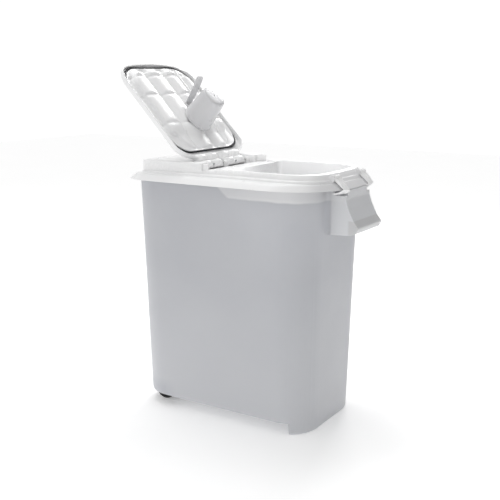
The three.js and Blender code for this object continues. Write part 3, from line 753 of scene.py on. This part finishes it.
# hinge arms with two rows of rounded humps, four across
cells = [(-83.5, -45.6), (-43.4, -5.4), (5.4, 43.4), (45.6, 83.5)]
arm_parts = []
for ca, cb in cells:
    nu, nv = 26, 22
    fs = np.linspace(-9.6, 34, 40)
    ys = np.linspace(ca, cb, nv + 1)

    def arm_top(f, t):
        # two humps along f, domed across
        r1 = math.sqrt(max(0, 1 - ((f + 0.6) / 9.4) ** 2)) if abs(f + 0.6) < 9.4 else 0
        h1 = 10 + 9.2 * r1
        r2 = math.sqrt(max(0, 1 - ((f - 17.5) / 11.5) ** 2)) if abs(f - 17.5) < 11.5 else 0
        h2 = 6.5 + 11.6 * r2
        tail = 3.2 + 10 * (1 - sstep(20, 33.5, f))
        top = max(h1 if abs(f + 0.6) < 9.4 else 0, h2 if abs(f - 17.5) < 11.5 else 0, tail if f > 18 else 0, 4.0)
        e = 1 - abs(2 * t - 1) ** 5
        dome = (1 - (2 * t - 1) ** 2)
        lim = 19.4 if f < 26 else 12.8
        return min(4.0 + (top - 4.0) * (0.62 + 0.38 * dome) * (0.25 + 0.75 * e), lim)

    def arm_bot(f):
        if f < 2:
            return 10 - math.sqrt(max(0, 7.3 ** 2 - (f + 2.7) ** 2)) if abs(f + 2.7) < 7.3 else 10
        return max(0.7, 4.4 - (f - 2) * 0.9)
    top = [[P(f, y, max(arm_top(f, (y - ca) / (cb - ca)), arm_bot(f) + 0.3)) for y in ys] for f in fs]
    bot = [[P(f, y, arm_bot(f)) for y in ys] for f in fs]
    v = [p for r in top for p in r] + [p for r in bot for p in r]
    nF, nY = len(fs), len(ys)
    off = nF * nY
    fc = []
    for i in range(nF - 1):
        for j in range(nY - 1):
            a = i * nY + j
            fc.append((a, a + 1, a + nY + 1, a + nY)); fc.append((off + a, off + a + nY, off + a + nY + 1, off + a + 1))
    for i in range(nF - 1):
        for j in (0, nY - 1):
            a = i * nY + j
            fc.append((a, a + nY, off + a + nY, off + a))
    for j in range(nY - 1):
        for i in (0, nF - 1):
            a = i * nY + j
            fc.append((a, a + 1, off + a + 1, off + a))
    arm_parts.append(obj("arm", v, fc, WHITE, 50))
shell = join("flap_shell_v", [shell] + arm_parts)
shade(shell, 42)
done(shell, "flap", "white_plastic", "flap_shell")

# inner pan: quilted cells, steep walls
GY = [-113.0, -45.0, 20.0, 70.0, 113.0]
GF = [117.0, 198.0, 254.0]


def pan_env(f, y):
    ay = np.abs(y)
    r = np.where(f < 160, 36.0, 46.0)
    hy = 91.6 + 13.0 * sstep(80, 96, f)
    qx, qy = np.abs(f - 159.5) - (112.5 - r), ay - (hy - r)
    sd = r - np.sqrt(np.maximum(qx, 0) ** 2 + np.maximum(qy, 0) ** 2) - np.minimum(np.maximum(qx, qy), 0)
    return 8.8 + sstep(0.0, 6.0, sd) * (3.7 + 6.0 * sstep(78, 106, f))


def pan_h(f, y):
    e = pan_env(f, y)
    t = np.zeros_like(y)
    for a, b in zip(GY[:-1], GY[1:]):
        k = (y >= a) & (y < b)
        t = np.where(k, (y - a) / (b - a), t)
    s2 = np.abs(2 * t - 1)
    D = np.clip(e - 3.9, 0, 9.2) * 0.98
    g = D * s2 ** 2.3
    gf = np.zeros_like(f)
    for q in GF:
        gf = np.maximum(gf, np.exp(-((f - q) / 5.2) ** 2))
    row = 3.4 * gf
    h = e - np.minimum(np.sqrt(g ** 2 + row ** 2), D)
    bd = np.clip(1 - ((y - 64.5) / 4.6) ** 2, 0, 1)
    bead = e - 5.2 + 4.9 * np.sqrt(bd)
    on = (bd > 0) & (f > 84) & (f < 268)
    h = np.where(on, np.maximum(h, bead), h)
    # outer border stays flat
    be = sstep(0, 7, np.minimum(np.minimum(115.3 - np.abs(y), f - 44.6), 282.4 - f))
    return 8.6 * (1 - be) + h * be


nF, nY = 190, 170
x0, x1, hyp, r0, r1 = 44.7, 282.3, 115.3, 38, 50
fs = np.linspace(x0, x1, nF)
rows = []
for f in fs:
    w = hyp
    if f < x0 + r0:
        w = hyp - r0 + math.sqrt(max(0, r0 ** 2 - (x0 + r0 - f) ** 2))
    if f > x1 - r1:
        w = min(w, hyp - r1 + math.sqrt(max(0, r1 ** 2 - (f - x1 + r1) ** 2)))
    rows.append(w)
YY = np.array([np.linspace(-w, w, nY) for w in rows]); FF = np.repeat(fs[:, None], nY, 1)
HH = pan_h(FF, YY)
# keep the quilt's edge level all round the rounded corners
dist = np.ones_like(HH) * 99
for i, w in enumerate(rows):
    dist[i] = np.minimum(dist[i], (w - np.abs(YY[i])) * 1.0)
be = sstep(0.0, 8.0, dist)
HH = 8.6 * (1 - be) + HH * be
low_in = (1 - sstep(60, 90, YY)) * (1 - sstep(44, 78, FF))
side_in = sstep(96, 115, -YY) * (1 - sstep(262, 274, FF))
side_out = sstep(96, 115, YY) * sstep(66, 84, FF) * (1 - sstep(262, 274, FF))
YY = YY - 2.5 * side_in + 3.0 * side_out
FF = FF - 3.6 * low_in
v = [P(FF[i, j], YY[i, j], HH[i, j]) for i in range(nF) for j in range(nY)]
off = len(v)
v += [P(FF[i, j], YY[i, j], 3.3) for i in range(nF) for j in range(nY) if i in (0, nF - 1) or j in (0, nY - 1)]
idx, c = {}, off
for i in range(nF):
    for j in range(nY):
        if i in (0, nF - 1) or j in (0, nY - 1):
            idx[(i, j)] = c; c += 1
fc = [(i * nY + j, i * nY + j + 1, (i + 1) * nY + j + 1, (i + 1) * nY + j) for i in range(nF - 1) for j in range(nY - 1)]
edge = [(0, j) for j in range(nY)] + [(i, nY - 1) for i in range(1, nF)] + [(nF - 1, j) for j in range(nY - 2, -1, -1)] + [(i, 0) for i in range(nF - 2, 0, -1)]
for (a, b) in zip(edge, edge[1:] + edge[:1]):
    fc.append((a[0] * nY + a[1], b[0] * nY + b[1], idx[b], idx[a]))
fc.append(tuple(idx[e] for e in edge))
pan = obj("flap_pan_v", v, fc, WHITE, 60)
done(pan, "flap", "white_plastic", "flap_pan")

# sealing ring with two lips
gp = rounded([(0.0, 3.4), (0.0, 6.6), (1.1, 7.7), (2.3, 7.3), (3.0, 6.6), (3.8, 7.2), (4.8, 7.2), (5.7, 6.2), (5.7, 3.4)], 0.5, 3)


def fine(pts, step=6.0):
    out = []
    for (a0, b0), (a1, b1) in zip(pts, pts[1:] + pts[:1]):
        n = max(1, int(math.hypot(a1[0] - a0[0], a1[1] - a0[1]) / step))
        for k in range(n):
            t = k / n
            out.append(((a0[0] + (a1[0] - a0[0]) * t, a0[1] + (a1[1] - a0[1]) * t), (b0[0] + (b1[0] - b0[0]) * t, b0[1] + (b1[1] - b0[1]) * t)))
    return out


pairs = fine(list(zip(plan(38.6, 288.4, 121.4, 44, 56, 18), plan(44.3, 282.7, 115.7, 38.3, 50.3, 18))))


def lip(f, y):
    k = 1.0
    if y < -96:
        k = 0.5
    if f < 90:
        k = 0.28 + 0.72 * float(sstep(62, 96, y))
    elif f > 240:
        k = 0.66 - 0.36 * float(sstep(10, 90, y))
    if y > 96 and f > 62:
        k = min(k, 1.0 - 0.62 * float(sstep(62, 80, f)))
    return k


def lift(f, y, b):
    return 3.4 + (b - 3.4) * (1 - 0.5 * float(sstep(62, 84, f) * (1 - sstep(236, 262, f)) * sstep(80, 104, y)))


gr = [[P(o[0] + (n[0] - o[0]) * i / 5.7 * lip(*o), o[1] + (n[1] - o[1]) * i / 5.7 * lip(*o), lift(o[0], o[1], b)) for o, n in pairs] for i, b in gp]
gk = rings("flap_gasket_v", gr, SEAL, closed=True, angle=50)
done(gk, "flap", "seal_rubber", "flap_gasket")

# ------------------------------------------------------------------ scoop
SX, SY, Z0, LEAN = 117.0, 8.0, 19.3, 0.09


def cupring(r, z, n=72, pw=2.35):
    q = []
    for i in range(n):
        a = 2 * math.pi * i / n
        c, s = math.cos(a), math.sin(a)
        k = (abs(c) ** pw + abs(s) ** pw) ** (-1 / pw)
        m = 1 + (k - 1) * float(sstep(Z0 + 6, Z0 + 40, z))
        q.append(P(SX + LEAN * (z - Z0) + r * m * c, SY + r * m * s, z))
    return q


cup_o = rounded([(32.2, Z0 + 0.4), (35.0, Z0 + 0.4), (35.0, Z0 + 3.2), (33.9, Z0 + 4.2), (33.4, Z0 + 12), (28.0, Z0 + 58), (26.6, Z0 + 70.6), (12, Z0 + 71.0)], [0, 0.8, 0.8, 0.8, 6, 8, 6, 0], 5)
cup_i = rounded([(12, Z0 + 68.6), (24.2, Z0 + 68.2), (26.0, Z0 + 57), (31.7, Z0 + 12), (32.2, Z0 + 0.4)], [0, 5, 8, 6, 0], 5)
cup = rings("scoop_v", [cupring(r, z) for r, z in cup_o] + [cupring(2, Z0 + 71.0), cupring(2, Z0 + 68.6)] + [cupring(r, z) for r, z in cup_i[:-1]], SCOOP, closed=True, angle=40)
# grip: a curved blade with rolled edges
line = [(44.5, 3.2), (45.6, 12), (48.0, 22), (50.8, 34), (54.6, 47), (59.2, 60), (63.6, 71.5)]
secs = []
for k in range(31):
    u = k / 30 * (len(line) - 1)
    i = min(int(u), len(line) - 2); t = u - i
    p = np.array(line[i]) * (1 - t) + np.array(line[i + 1]) * t
    d = np.array(line[i + 1]) - np.array(line[i]); d = d / np.linalg.norm(d)
    nn = np.array([d[1], -d[0]])
    hw = 10.4 + 1.5 * float(sstep(0, 0.6, k / 30)) - 4.0 * float(sstep(0.9, 1.0, k / 30)) ** 2
    th = 1.5
    ring = []
    for a in np.linspace(0, 2 * math.pi, 28, endpoint=False):
        ca, sa = math.cos(a), math.sin(a)
        yy = hw * math.copysign(abs(ca) ** 0.35, ca)
        oo = th * math.copysign(abs(sa) ** 0.6, sa) + 1.6 * (yy / 12) ** 2 * -1 + 0.8
        rim = 0.5 * (1 if abs(yy) > hw - 2.2 else 0) * math.copysign(1, sa)
        ring.append(P(SX + p[0] + nn[0] * (oo + rim), SY + yy, Z0 + p[1] + nn[1] * (oo + rim)))
    secs.append(ring)
grip = rings("g", secs, SCOOP, angle=50)
bridge = slab("br", [(0, 0), (1, 0), (1, 1)], 0, 1, SCOOP)
bpy.data.objects.remove(bridge)
bv = []
for f in (SX + 33.2, SX + 45.8):
    for y in (SY - 9, SY + 9):
        for b in (Z0 + 3.2, Z0 + 7.4):
            bv.append(P(f, y, b))
bridge = obj("br", bv, [(0, 1, 3, 2), (4, 6, 7, 5), (0, 4, 5, 1), (2, 3, 7, 6), (0, 2, 6, 4), (1, 5, 7, 3)], SCOOP)
scoop = join("scoop_v", [cup, grip, bridge])
done(scoop, "scoop_cup", "scoop_plastic", "scoop")

so = rounded([(28.0, Z0 - 0.2), (31.4, Z0 - 0.2), (31.3, Z0 + 4.8), (30.6, Z0 + 6), (28.7, Z0 + 6), (28.0, Z0 + 5), (28, Z0 + 2), (12, Z0 + 2), (12, Z0 + 0.6), (3, Z0 + 0.6), (3, Z0 - 0.2)], 0.5, 3)
def sockring(r, z, n=64):
    return [P(SX + r * math.cos(2 * math.pi * i / n), SY + r * math.sin(2 * math.pi * i / n), z) for i in range(n)]
sock = rings("scoop_socket_v", [sockring(r, z) for r, z in so], WHITE, closed=True, angle=40)
done(sock, "flap", "white_plastic", "scoop_socket")

# ------------------------------------------------------------------ floor, light, camera
floor_me = bpy.data.meshes.new("floor")
floor_me.from_pydata([(-6, -6, 0), (6, -6, 0), (6, 6, 0), (-6, 6, 0)], [], [(0, 1, 2, 3)])
floor = bpy.data.objects.new("floor", floor_me)
SCENE.collection.objects.link(floor)
fm, fnt, fb = nodes_of("floor_pale")
fv = coords(fnt)
fnt.links.new(ramp(fnt, noise(fnt, fv, 3, 3), [(0.3, (0.93, 0.93, 0.93)), (0.7, (0.95, 0.95, 0.95))]), fb.inputs["Base Color"])
fb.inputs["Roughness"].default_value = 0.9
fb.inputs["Specular IOR Level"].default_value = 0.1
fb.inputs["Emission Color"].default_value = (1, 1, 1, 1)
flen = fnt.nodes.new("ShaderNodeVectorMath"); flen.operation = "LENGTH"
fnt.links.new(fv, flen.inputs[0])
# painted light: the floor glows, more faintly near the bin than further out
fnt.links.new(rng(fnt, flen.outputs["Value"], 0.24, 0.38, 0.30, 1.2), fb.inputs["Emission Strength"])
floor_me.materials.append(fm)

world = bpy.data.worlds.new("world")
SCENE.world = world
world.use_nodes = True
wt = world.node_tree
bg = wt.nodes["Background"]
wtc = wt.nodes.new("ShaderNodeTexCoord")


def lobe(vec, a, b, lo, hi):
    dt = wt.nodes.new("ShaderNodeVectorMath"); dt.operation = "DOT_PRODUCT"
    wt.links.new(wtc.outputs["Generated"], dt.inputs[0])
    dt.inputs[1].default_value = vec
    r = wt.nodes.new("ShaderNodeMapRange")
    for k_, v_ in (("From Min", a), ("From Max", b), ("To Min", lo), ("To Max", hi)):
        r.inputs[k_].default_value = v_
    wt.links.new(dt.outputs["Value"], r.inputs["Value"])
    return r.outputs[0]


mx = wt.nodes.new("ShaderNodeMath"); mx.operation = "MAXIMUM"
wt.links.new(lobe((-0.50, -0.52, 0.18), -0.75, 0.75, WORLD_LO, WORLD_HI), mx.inputs[0])
wt.links.new(lobe((-0.523, 0.826, -0.211), 0.78, 0.90, 0.0, BACKDROP), mx.inputs[1])
wt.links.new(mx.outputs[0], bg.inputs[1])
bg.inputs[0].default_value = (1, 1, 1, 1)


def area(name, loc, target, size, power, size_y=None):
    l = bpy.data.lights.new(name, "AREA")
    l.shape = "RECTANGLE"; l.size = size; l.size_y = size_y or size
    l.energy = power
    o = bpy.data.objects.new(name, l)
    SCENE.collection.objects.link(o)
    o.location = loc
    d = Vector(target) - Vector(loc)
    o.rotation_euler = d.to_track_quat("-Z", "Y").to_euler()
    return o


area("key_back", (-0.5, 1.9, 1.75), (-0.05, 0, 0.55), 0.7, 20)
area("key_top", (-0.6, 0.3, 2.4), (-0.02, 0, 0.50), 1.1, 15)
bounce = area("inside_bounce", ((112 - S) * 0.001, -0.106, 0.538), ((112 - S) * 0.001, 0.115, 0.520), 0.17, 0.17, 0.014)
bounce.visible_camera = False

cam_d = bpy.data.cameras.new("camera")
cam = bpy.data.objects.new("camera", cam_d)
SCENE.collection.objects.link(cam)
psi, phi = RAD(32.342), RAD(12.173)
d = Vector((-math.sin(psi) * math.cos(phi), math.cos(psi) * math.cos(phi), -math.sin(phi)))
cam.location = ((983.9 - S) * 0.001, -1.5597, 0.7545)
cam.rotation_euler = d.to_track_quat("-Z", "Y").to_euler()
cam_d.sensor_width = 36
cam_d.lens = 36 * 840.27 / 500
cam_d.shift_x = (250 - 247.1) / 500
cam_d.shift_y = (250.2 - 250) / 500
SCENE.camera = cam
SCENE.view_settings.view_transform = "Standard"
SCENE.view_settings.look = "None"

bpy.context.view_layer.update()
